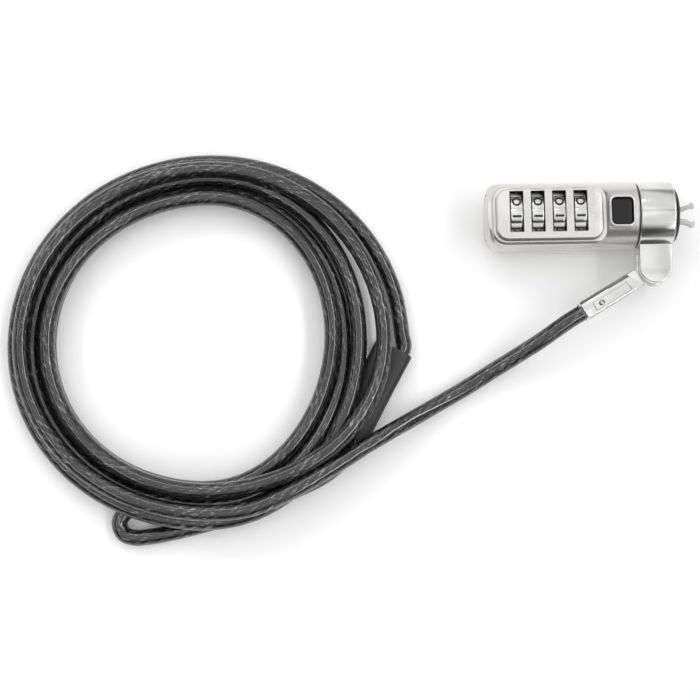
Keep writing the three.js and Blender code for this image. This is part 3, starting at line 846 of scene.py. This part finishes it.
def build_housing():
    profile = [(-BODY_LENGTH, 0)]
    profile += arc(-BODY_LENGTH + BODY_ROUND, HEAD_R - BODY_ROUND, BODY_ROUND, 180, 90, 14)
    profile += [(-GAP - 0.5, HEAD_R), (-GAP, HEAD_R - 0.5), (-GAP, NECK_R)]
    groove_x0, groove_x1, groove_r = NECK_GROOVE["x0"], NECK_GROOVE["x1"], NECK_GROOVE["r"]
    profile += [(groove_x0, NECK_R), (groove_x0, groove_r)]
    profile += [(groove_x1, groove_r), (groove_x1, NECK_R), (NECK_TIP, NECK_R), (NECK_TIP, 0)]
    housing = turned("housing", profile, 160)
    limits = [PAD["x0"], PAD["x1"], PAD["y0"], PAD["y1"]]
    corner, top = PAD["corner"], PAD["top"]
    pad = slab("pad", *limits, corner, [(0, 2), (0, 9.2)], 16)
    # What is cleared above the pad widens as it rises, so the body's skin runs up to it.
    flare = [(0, top)]
    for k in range(1, 11):
        t = k / 10
        flare.append((-2.4 * t, top + 1.9 * t + 0.7 * t * t))
    flare.append((-2.6, 16))
    clearance = slab("clear", *limits, corner, flare, 16)
    chamfer = slab(
        "chamfer", *grown(limits, -3, -2, -3, 3), 0.5, [(0, top - PAD_CHAMFER), (0, 12)]
    )
    slope = [(0, 6), (0, top - PAD_CHAMFER), (0.62, top), (0.62, 14)]
    core = slab("core", *grown(limits, 0, 3, 0, 0), corner, slope, 16)
    cut(chamfer, core)
    rim_profile = [(0, 5)] + edge_round(BEZEL["top"], 0.55, 5)
    rim = slab("rim", *footprint(BEZEL), BEZEL["corner"], rim_profile)
    join(housing, pad)
    cut(housing, clearance)
    cut(housing, chamfer)
    join(housing, rim)
    cutters = []
    pocket_half, pocket_r = POCKET["width"] / 2, POCKET["r"]
    for i in range(DIAL_COUNT):
        x0, x1 = dial_x(i) - pocket_half, dial_x(i) + pocket_half
        cutters.append(rod_x(f"well{i}", pocket_r, x0, x1, 0, DIAL_Z))
        reach = pocket_r - 0.5
        cutters.append(block(f"mouth{i}", x0, x1, -reach, reach, DIAL_Z + 2.9, HEAD_R + 1))
    play = BUTTON_PLAY
    well_limits = grown(footprint(BUTTON), -play, play, -play, play)
    well_profile = [(0, 4.2), (0, 12)]
    cutters.append(slab("buttonwell", *well_limits, BUTTON["corner"] + play, well_profile))
    # The rooms for the button's stem, slider, detent spring, slider's tang and claws.
    rooms = {
        "stemwell": (-7.9, -3.6, -1.9, 1.9, -6.5, 5),
        "channel": (-11.6, 0.5, -2.9, 2.9, -1.6, 1.6),
        "detent_channel": (-40, -13.6, -1.3, 1.3, -6.7, -4.6),
        "tangroom": (-11.61, -8.6, -1.61, 1.61, 0, 4.7),
        "passage": (-2.4, 13, -3.6, 3.6, -1.6, 1.6),
    }
    for name, room in rooms.items():
        cutters.append(block(name, *room))
    cutters.append(rod_x("plugseat", PLUG_SEAT["r"], -BODY_LENGTH - 1, PLUG_SEAT["x"]))
    cutters.append(rod_x("bore", BORE["r"], -BODY_LENGTH, BORE["x1"], 0, DIAL_Z, 32))
    cut(housing, *cutters)
    shade(housing, 24)
    # The faces of the dial wells, which get painted shade.
    wells = [
        p.index
        for p in housing.data.polygons
        if any(abs(p.center.x - dial_x(i)) < pocket_half + 0.01 for i in range(DIAL_COUNT))
        and abs(p.center.y) < pocket_r
        and math.hypot(p.center.y, p.center.z - DIAL_Z) < pocket_r + 0.02
    ]
    place(housing)
    dress(housing, NICKEL, "satin_nickel", "lock_body", "lock_housing")
    return bare(housing, wells)


def bare(obj, faces):
    """Paints some faces of a plated piece near black, as painted shade in its hollows and along its
    side walls.
    """
    obj.data.materials.append(RECESS_SHADE)
    for index in faces:
        obj.data.polygons[index].material_index = 1
    return obj


def build_plate():
    top = PLATE["top"]
    limits = (PLATE["x0"], PLATE["x1"], PLATE["y0"], PLATE["y1"])
    profile = [(0, PAD["top"] + GAP), (0, top - 0.48), (0.5, top - 0.03), (0.64, top)]
    plate = slab("plate", *limits, PLATE["corner"], profile, 16)
    half_x, half_y = WINDOW["width"] / 2, WINDOW["half"]
    windows = [
        block(f"window{i}", dial_x(i) - half_x, dial_x(i) + half_x, -half_y, half_y, 5, 12)
        for i in range(DIAL_COUNT)
    ]
    cut(plate, *windows)
    shade(plate, 20)
    # Every side wall of the plate, round its windows and its edge, gets painted shade.
    walls = [p.index for p in plate.data.polygons if abs(p.normal.z) < 0.2]
    place(plate)
    dress(plate, NICKEL, "satin_nickel", "lock_body", "face_plate")
    return bare(plate, walls)


DIGIT_FONT = {"size": 3.3, "bolder": 0.07, "taller": 1.12, "wider": 1.15}


def oval(rx, ry):
    angles = np.linspace(0, 2 * math.pi, 40, False)
    return [(rx * math.cos(a), ry * math.sin(a)) for a in angles]


def digit_mesh(name, digit):
    """A digit as a thin solid in millimetres, its height along X, centred on the origin."""
    if digit == 0:
        outer, inner = oval(1.48, 1.5), oval(0.84, 0.84)
        rings = []
        for ring, z in ((inner, 0), (outer, 0), (outer, 1), (inner, 1)):
            rings.append([(x, y, z) for x, y in ring])
        return loft(name, rings, closed=True)
    if digit == 1:
        return prism(name, rounded(-1.35, 1.35, -0.36, 0.36, 0.12, 3), 0, 1)
    curve = bpy.data.curves.new(name, "FONT")
    curve.body = str(digit)
    curve.size = DIGIT_FONT["size"]
    curve.extrude = 0.5
    curve.offset = DIGIT_FONT["bolder"]
    curve.align_x = "CENTER"
    curve.align_y = "CENTER"
    text = bpy.data.objects.new(name + "_text", curve)
    bpy.context.scene.collection.objects.link(text)
    dg = bpy.context.evaluated_depsgraph_get()
    mesh = bpy.data.meshes.new_from_object(text.evaluated_get(dg), depsgraph=dg)
    bpy.data.objects.remove(text)
    bm = bmesh.new()
    bm.from_mesh(mesh)
    bmesh.ops.remove_doubles(bm, verts=bm.verts, dist=1e-4)
    xs = [v.co.x for v in bm.verts]
    ys = [v.co.y for v in bm.verts]
    mid = Vector(((min(xs) + max(xs)) / 2, (min(ys) + max(ys)) / 2, -0.5))
    for v in bm.verts:
        p = v.co - mid
        v.co = Vector((p.y * DIGIT_FONT["taller"], -p.x * DIGIT_FONT["wider"], p.z))
    bmesh.ops.recalc_face_normals(bm, faces=bm.faces)
    bm.to_mesh(mesh)
    bm.free()
    obj = bpy.data.objects.new(name, mesh)
    bpy.context.scene.collection.objects.link(obj)
    return obj


def wrap(obj, angle, depth):
    """Bends a flat digit round a dial's drum, its base just under the surface."""
    for v in obj.data.vertices:
        a = math.radians(angle) + v.co.y / DIAL_R
        r = DIAL_R - depth + v.co.z * (depth + 0.02)
        v.co = Vector((v.co.x, r * math.sin(a), r * math.cos(a)))
    return obj


FACE = 36  # the degrees that one digit's face takes up on a dial
FACE_DROP = 0.3  # how far a face falls away at its edges
FACE_DEPTH = 0.8  # only what lies this near the drum's surface is a face
DIGIT_SUNK = 0.12  # how far a digit's base lies under the surface


def crown_facets(obj):
    """Rounds each of the dial's ten faces a little more than the drum that they stand on."""
    half = FACE / 2
    for v in obj.data.vertices:
        r = math.hypot(v.co.y, v.co.z)
        if r > DIAL_R - FACE_DEPTH:
            a = math.degrees(math.atan2(v.co.y, v.co.z)) - DIGIT_ZERO_ANGLE
            off = (a + half) % FACE - half
            r_new = r - FACE_DROP * (off / half) ** 2
            v.co.y, v.co.z = v.co.y * r_new / r, v.co.z * r_new / r


def build_dial(i):
    half, edge = DIAL_WIDTH / 2, 0.3
    profile = [(-half, DIAL_BORE_R)]
    profile += [(x, r) for x, r in arc(-half + edge, DIAL_R - edge, edge, 180, 90, 4)]
    profile += [(x, r) for x, r in arc(half - edge, DIAL_R - edge, edge, 90, 0, 4)]
    profile += [(half, DIAL_BORE_R)]
    drum = turned(f"drum_{i + 1}", profile, 160, closed=True)
    cutters = []
    reach = half + 0.5
    for k in range(10):
        groove = block(f"groove{k}", -reach, reach, -0.17, 0.17, DIAL_R - 0.3, DIAL_R + 0.5)
        turn = math.radians(-(DIGIT_ZERO_ANGLE - FACE / 2 - FACE * k))
        groove.data.transform(Matrix.Rotation(turn, 4, "X"))
        cutters.append(groove)
    cut(drum, *cutters)
    crown_facets(drum)
    shade(drum, 30)
    digits = []
    for digit in range(10):
        flat = digit_mesh(f"digit_{i + 1}_{digit}", digit)
        digits.append(wrap(flat, DIGIT_ZERO_ANGLE - FACE * digit, DIGIT_SUNK))
    merged = bmesh.new()
    for obj in digits:
        merged.from_mesh(obj.data)
        bpy.data.objects.remove(obj)
    mesh = bpy.data.meshes.new(f"digits_{i + 1}")
    merged.to_mesh(mesh)
    merged.free()
    inked = bpy.data.objects.new(f"digits_{i + 1}", mesh)
    bpy.context.scene.collection.objects.link(inked)
    crown_facets(inked)
    shade(inked, 30)
    for obj in (drum, inked):
        place(obj, 0, (dial_x(i), 0, DIAL_Z))
    dress(drum, CHROME, "chrome_plate", f"dial_wheel_{i + 1}", f"dial_{i + 1}")
    dress(inked, INK, "black_plastic", f"dial_wheel_{i + 1}")


# ---------------------------------------------------------------- button
STEM = {"half_x": 1.2, "half_y": 1.4, "bottom": -2}


def build_button():
    top, bottom = BUTTON["top"], BUTTON["bottom"]
    crown = [(0, bottom)] + edge_round(top - 0.12, 0.5, 6) + [(1.1, top - 0.05), (2.2, top)]
    cap = slab("button_cap", *footprint(BUTTON), BUTTON["corner"], crown, 12)
    x0, x1 = BUTTON["x"] - STEM["half_x"], BUTTON["x"] + STEM["half_x"]
    half = STEM["half_y"]
    stem = block("stem", x0, x1, -half, half, STEM["bottom"], bottom + 0.3)
    # The slope on the stem that moves the slider.
    ramp_cut = prism("rampcut", [(-9, -3), (-6.15, -3), (-6.95, -0.4), (-9, -0.4)], -2, 2)
    ramp_cut.data.transform(Matrix.Rotation(math.radians(90), 4, "X"))
    cut(stem, ramp_cut)
    join(cap, stem)
    shade(cap, 40)
    place(cap)
    return dress(cap, PLASTIC, "black_plastic", "release_button", "button")


# ---------------------------------------------------------------- collar, claws and nose
COLLAR = {"x1": 10.6, "round": 0.45, "bore": 7.3, "recess": 8.9, "recess_x": 9}
FORK_HALF = 1.65  # half the slot between the lug's two cheeks
PIN_R = 1.7


def build_collar():
    x1, edge = COLLAR["x1"], COLLAR["round"]
    bore, recess, recess_x = COLLAR["bore"], COLLAR["recess"], COLLAR["recess_x"]
    profile = [(0, bore)]
    profile += arc(edge, HEAD_R - edge, edge, 180, 90, 5)
    profile += arc(x1 - edge, HEAD_R - edge, edge, 90, 0, 5)
    profile += [(x1, recess), (recess_x, recess), (recess_x, bore)]
    ring = turned("collar", profile, 200, closed=True)
    x, half, pivot, thick = LUG["x"], LUG["half"], LUG["pivot_y"], LUG["thick"]
    outline = arc(x, pivot, half, 180, 360, 40) + [(x + half, -8.2), (x - half, -8.2)]
    lug = prism("lug", outline, -thick, thick)
    slot = block("slot", -2, 13, pivot - half - 1, -11.8, -FORK_HALF, FORK_HALF)
    hole = rod("hole", PIN_R, -6, 3.3, x, pivot, 40)
    cut(lug, slot, hole)
    bevel(lug, 0.45, 4, 50)
    # The lug starts just outside the ring's recess, so it shows no edge in there.
    inner = rod_x("inner", recess + 0.05, -1, x1 + 0.1, 0, 0, 160)
    cut(lug, inner)
    join(ring, lug)
    shade(ring, 28)
    place(ring)
    return dress(ring, CHROME, "chrome_plate", "collar", "swivel_collar")


def build_end_pad():
    x0, x1, rim = END_PAD["x0"], END_PAD["x1"], END_PAD["rim"]
    outer, bore, face = END_PAD["outer"], END_PAD["bore"], END_PAD["face"]
    profile = [(NECK_END + GAP, 0), (NECK_END + GAP, bore), (x0, bore)]
    profile += [(x0, outer - 0.1), (x0 + 0.1, outer), (rim, outer)]
    for k in range(1, 13):
        t = k / 12
        x = (1 - t) ** 2 * rim + (1 - (1 - t) ** 2) * x1
        r = (1 - t) ** 2 * outer + 2 * t * (1 - t) * (outer - 1) + t * t * face
        profile.append((x, r))
    profile.append((x1, 0))
    pad = turned("end_cap", profile, 128)
    half_y, half_z = END_PAD["slot"]
    cut(pad, block("padslot", NECK_END, x1 + 1, -half_y, half_y, -half_z, half_z))
    bevel(pad, 0.12, 3, 50)
    shade(pad, 40)
    place(pad)
    return dress(pad, RUBBER, "black_rubber", "lock_body", "end_pad")


CLAW_PIVOT = (2.4, 1.9)
CLAW_HALF = 1.3
CLAW_BORE_R = 1


def build_claw(side):
    name, body = ("upper", "claw_upper") if side > 0 else ("lower", "claw_lower")
    px, py = CLAW_PIVOT
    # The upper claw from its pivot out to the hook, then back along the other edge.
    outline = [(0.5, 1.3), (4, 1.15), (13.4, 1.15)]
    outline += [(15.2, 1.45), (16.2, 1.95), (16.9, 2.22), (17.4, 2.22), (18, 2.05)]
    outline += [(18.2, 2.5), (18.2, 3.2), (18, 3.7), (17, 3.7), (16.5, 3.15)]
    outline += [(15.2, 2.75), (13.2, 2.35), (4.2, 2.35)]
    outline += arc(px, py, 1.5, 17, 162, 14)
    outline += [(0.5, 2.4)]
    outline = [(x, y * side) for x, y in outline][::side]
    leaf = prism(f"claw_{name}", outline, -CLAW_HALF, CLAW_HALF)
    cut(leaf, rod("eye", CLAW_BORE_R, -3, 3, px, py * side, 32))
    bevel(leaf, 0.28, 4, 40)
    shade(leaf, 50)
    place(leaf)
    return dress(leaf, CLAW_PLATE, "chrome_plate", body, f"prong_{name}")


# ---------------------------------------------------------------- cable end fitting
FITTING_HALF = 3.05
RIVET = {"x": 19.9, "y": 0.6, "hole_r": 0.95}


def fitting_ring(x, inset, bevel_size):
    """The fitting's section at x: square, with a wide bevel on one top edge."""
    h = FITTING_HALF - inset
    b = bevel_size
    corners = [
        (h - 0.5, h),
        (-h + b, h),
        (-h, h - b),
        (-h, -h + 0.5),
        (-h + 0.5, -h),
        (h - 0.5, -h),
        (h, -h + 0.5),
        (h, h - 0.5),
    ]
    return [(x, y, z) for y, z in corners]


def place_fitting(obj):
    return place(obj, FITTING_ANGLE, (LUG["x"], LUG["pivot_y"], 0))


def build_fitting():
    """The fitting's block and tongue, its inlaid plate and its rivet. Their X runs along
    the fitting, from the lug's pin."""
    sections = [
        (8.2, 0.35, 1.4),
        (8.55, 0, 1.4),
        (15.4, 0, 1.4),
        (15.7, 0, 1.1),
        (FITTING_END - 0.5, 0, 1.1),
        (FITTING_END, 0.4, 1.1),
    ]
    body = loft("fitting", [fitting_ring(*section) for section in sections])
    bevel(body, 0.16, 3, 25)
    # The front block, the tongue and the neck share no plane with each other or the body.
    front_profile = [(0.3, -2.63), (0, -2.33), (0, 2.03), (0.3, 2.33)]
    front = slab("front", 5.5, 8.93, -2.93, 2.93, 0.3, front_profile, 4)
    bevel(front, 0.12, 2, 25)
    tongue = rod("tongue", 4.4, -1.35, 1.35, 0, 0, 96)
    neck = block("neck", 0, 7, -2.86, 2.86, -1.31, 1.31)
    join(body, front, tongue, neck)
    cutters = [
        block("window", 9.9, 22.6, -1, 2.2, 1.9, 4),
        rod("rivet_hole", RIVET["hole_r"], 0.5, 4, RIVET["x"], RIVET["y"], 32),
        rod("pin_hole", PIN_R, -3, 3, 0, 0, 40),
        prism("notch", [(8.3, -1.4), (10.4, -0.2), (8.3, 2.6)], 2.3, 4),
        rod_x("mouth", CABLE_R + 0.12, FITTING_END - 0.6, 28),
    ]
    cut(body, *cutters)
    shade(body, 25)
    place_fitting(body)
    dress(body, CHROME, "chrome_plate", "cable_assembly", "cable_fitting")
    inlay_profile = [(0, 2.2), (0, 2.62), (0.08, 2.7)]
    plate = slab("fitting_inlay", 10.2, 22.3, -0.7, 1.9, 0.15, inlay_profile, 3)
    hole = rod("plate_hole", RIVET["hole_r"], 1, 4, RIVET["x"], RIVET["y"], 32)
    line = block("scribe", 12.4, 19.0, 0.95, 1.02, 2.62, 3)
    tick = block("tick", 13.4, 13.5, -0.1, 0.55, 2.62, 3)
    cut(plate, hole, line, tick)
    shade(plate, 30)
    place_fitting(plate)
    dress(plate, CHROME, "chrome_plate", "cable_assembly", "fitting_plate")
    head = [(2.7, 0.6), (2.84, 0.5), (2.9, 0.3), (2.9, 0.16), (2.72, 0.14), (2.72, 0)]
    rivet = turned("rivet", [(0.8, 0), (0.8, 0.6)] + head, 40)
    rivet.data.transform(Matrix.Rotation(math.radians(-90), 4, "Y"))
    rivet.data.transform(Matrix.Translation((RIVET["x"], RIVET["y"], 0)))
    shade(rivet, 40)
    place_fitting(rivet)
    dress(rivet, STEEL, "steel", "cable_assembly", "crimp_rivet")


build_housing()
build_plate()
for number in range(DIAL_COUNT):
    build_dial(number)
build_button()
build_collar()
build_end_pad()
build_claw(1)
build_claw(-1)
build_fitting()

# ---------------------------------------------------------------- carried-over CAD nodes
CARRIED_STEEL = [
    "spindle",
    "detent_spring",
    "release_slider",
    "prong_pin_upper",
    "prong_pin_lower",
    "pivot_pin",
    "friction_washer",
    "retaining_clip",
    "spindle_spring",
    "button_spring",
]
CARRIED = {"end_plug": NICKEL}
CARRIED.update({f"clutch_ring_{number + 1}": BRASS for number in range(DIAL_COUNT)})
CARRIED.update({name: STEEL for name in CARRIED_STEEL})
for node, finish in CARRIED.items():
    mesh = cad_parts[node].data
    mesh.materials.clear()
    mesh.materials.append(finish)


# ---------------------------------------------------------------- studio
FLOOR_HALF = 30.0
FLOOR_DROP = 0.0002  # keeps the floor clear of the cable's underside


def build_floor():
    corners = [(x * FLOOR_HALF, y * FLOOR_HALF, 0) for x, y in ((-1, -1), (1, -1), (1, 1), (-1, 1))]
    floor = from_faces("floor", corners, [(0, 1, 2, 3)])
    floor.location.z = -FLOOR_DROP
    mat, tree, shader = nodes_of("pale_floor")
    colour = ramp(tree, noise(tree, 3), [(0.3, 0.93), (0.7, 0.95)])
    link(tree, colour, shader.inputs["Base Color"])
    shader.inputs["Roughness"].default_value = 0.9
    shader.inputs["Specular IOR Level"].default_value = 0.1
    shader.inputs["Emission Color"].default_value = (1, 1, 1, 1)
    shader.inputs["Emission Strength"].default_value = 0.06
    floor.data.materials.append(mat)


def aimed(name, data, place_at, aim):
    """A light or camera at a place, turned to look at another."""
    obj = bpy.data.objects.new(name, data)
    obj.location = place_at
    direction = Vector(aim) - obj.location
    obj.rotation_euler = direction.to_track_quat("-Z", "Y").to_euler()
    bpy.context.scene.collection.objects.link(obj)
    return obj


SOFT_TOP = {"at": (-0.2, 0.1, 1.6), "aim": (-0.075, -0.03, 0), "size": 1.2, "power": 1.5}


def build_light():
    data = bpy.data.lights.new("soft_top", "AREA")
    data.shape = "RECTANGLE"
    data.size = SOFT_TOP["size"]
    data.size_y = SOFT_TOP["size"]
    data.energy = SOFT_TOP["power"]
    aimed("soft_top", data, SOFT_TOP["at"], SOFT_TOP["aim"])


def band(tree, angle, middle, half, soft):
    """1 where an angle in degrees lies within half of middle, falling to 0 over soft."""
    off = math_node(tree, "ABSOLUTE", math_node(tree, "SUBTRACT", angle, middle))
    return to_range(tree, off, 1.0, 0.0, half, half + soft)


# How bright the room is from one side to the other over the top: where, as a share of the
# half turn, and the brightness there.
ROOM = [
    (0.0, 0.3),
    (0.02, 0.06),
    (0.19, 0.06),
    (0.24, 0.5),
    (0.28, 0.9),
    (0.514, 0.95),
    (0.524, 0.45),
    (0.548, 0.45),
    (0.558, 0.95),
    (1.0, 0.9),
]
# Darker stretches across the room: lean in x, half width, soft edge (degrees), brightness.
STRETCHES = [(-56, 8, 8, 0.16), (58, 10, 8, 0.3)]
# Bright strips: the axis that each leans in, its middle and half width, then its centre
# and reach along the other axis (degrees), and its brightness.
STRIPS = [
    ("x", 36, 1.7, -8, 40, 9),
    ("y", 42, 1.3, -30, 26, 7),
    ("x", -38, 0.9, 0, 34, 6),
]
STRIP_SOFT = 12  # how softly a strip's ends fade


def build_studio():
    """A white room whose walls and ceiling have darker stretches and bright strips, which
    the metal and the vinyl reflect. The camera itself sees plain white past the floor."""
    world = bpy.data.worlds.new("studio")
    world.use_nodes = True
    tree = world.node_tree
    background = tree.nodes["Background"]
    coords = tree.nodes.new("ShaderNodeTexCoord")
    split = tree.nodes.new("ShaderNodeSeparateXYZ")
    link(tree, coords.outputs["Generated"], split.inputs["Vector"])
    x, y, z = (split.outputs[k] for k in "XYZ")
    lean = {
        axis: math_node(tree, "DEGREES", math_node(tree, "ARCTAN2", side, z))
        for axis, side in (("x", x), ("y", y))
    }
    light = ramp(tree, to_range(tree, lean["y"], 0.0, 1.0, -90, 90), ROOM)
    for middle, half, soft, grey in STRETCHES:
        light = mix_colour(tree, band(tree, lean["x"], middle, half, soft), light, (grey,) * 3)
    low = to_range(tree, z, 0.7, 0.0, 0.02, 0.14)
    light = mix_colour(tree, low, light, (0.25, 0.25, 0.25))
    glow = None
    for axis, middle, half, centre, reach, gain in STRIPS:
        other = "y" if axis == "x" else "x"
        across = band(tree, lean[axis], middle, half, half)
        along = band(tree, lean[other], centre, reach, STRIP_SOFT)
        lit = times(tree, times(tree, across, along), gain)
        glow = lit if glow is None else math_node(tree, "ADD", glow, lit)
    total = mix_colour(tree, 1.0, light, glow, "ADD")
    path = tree.nodes.new("ShaderNodeLightPath")
    seen = mix_colour(tree, path.outputs["Is Camera Ray"], total, (1.0, 1.0, 1.0))
    link(tree, seen, background.inputs["Color"])
    background.inputs["Strength"].default_value = 1.0
    bpy.context.scene.world = world
    bpy.context.scene.view_settings.view_transform = "Standard"


CAMERA = {"at": (-0.075259, -0.080027, 0.42481), "aim": (-0.07444, -0.027874, 0), "lens": 70.46}


def build_camera():
    data = bpy.data.cameras.new("camera")
    data.sensor_width = 36
    data.lens = CAMERA["lens"]
    data.clip_start = 0.01
    bpy.context.scene.camera = aimed("camera", data, CAMERA["at"], CAMERA["aim"])


build_floor()
build_studio()
build_light()
build_camera()
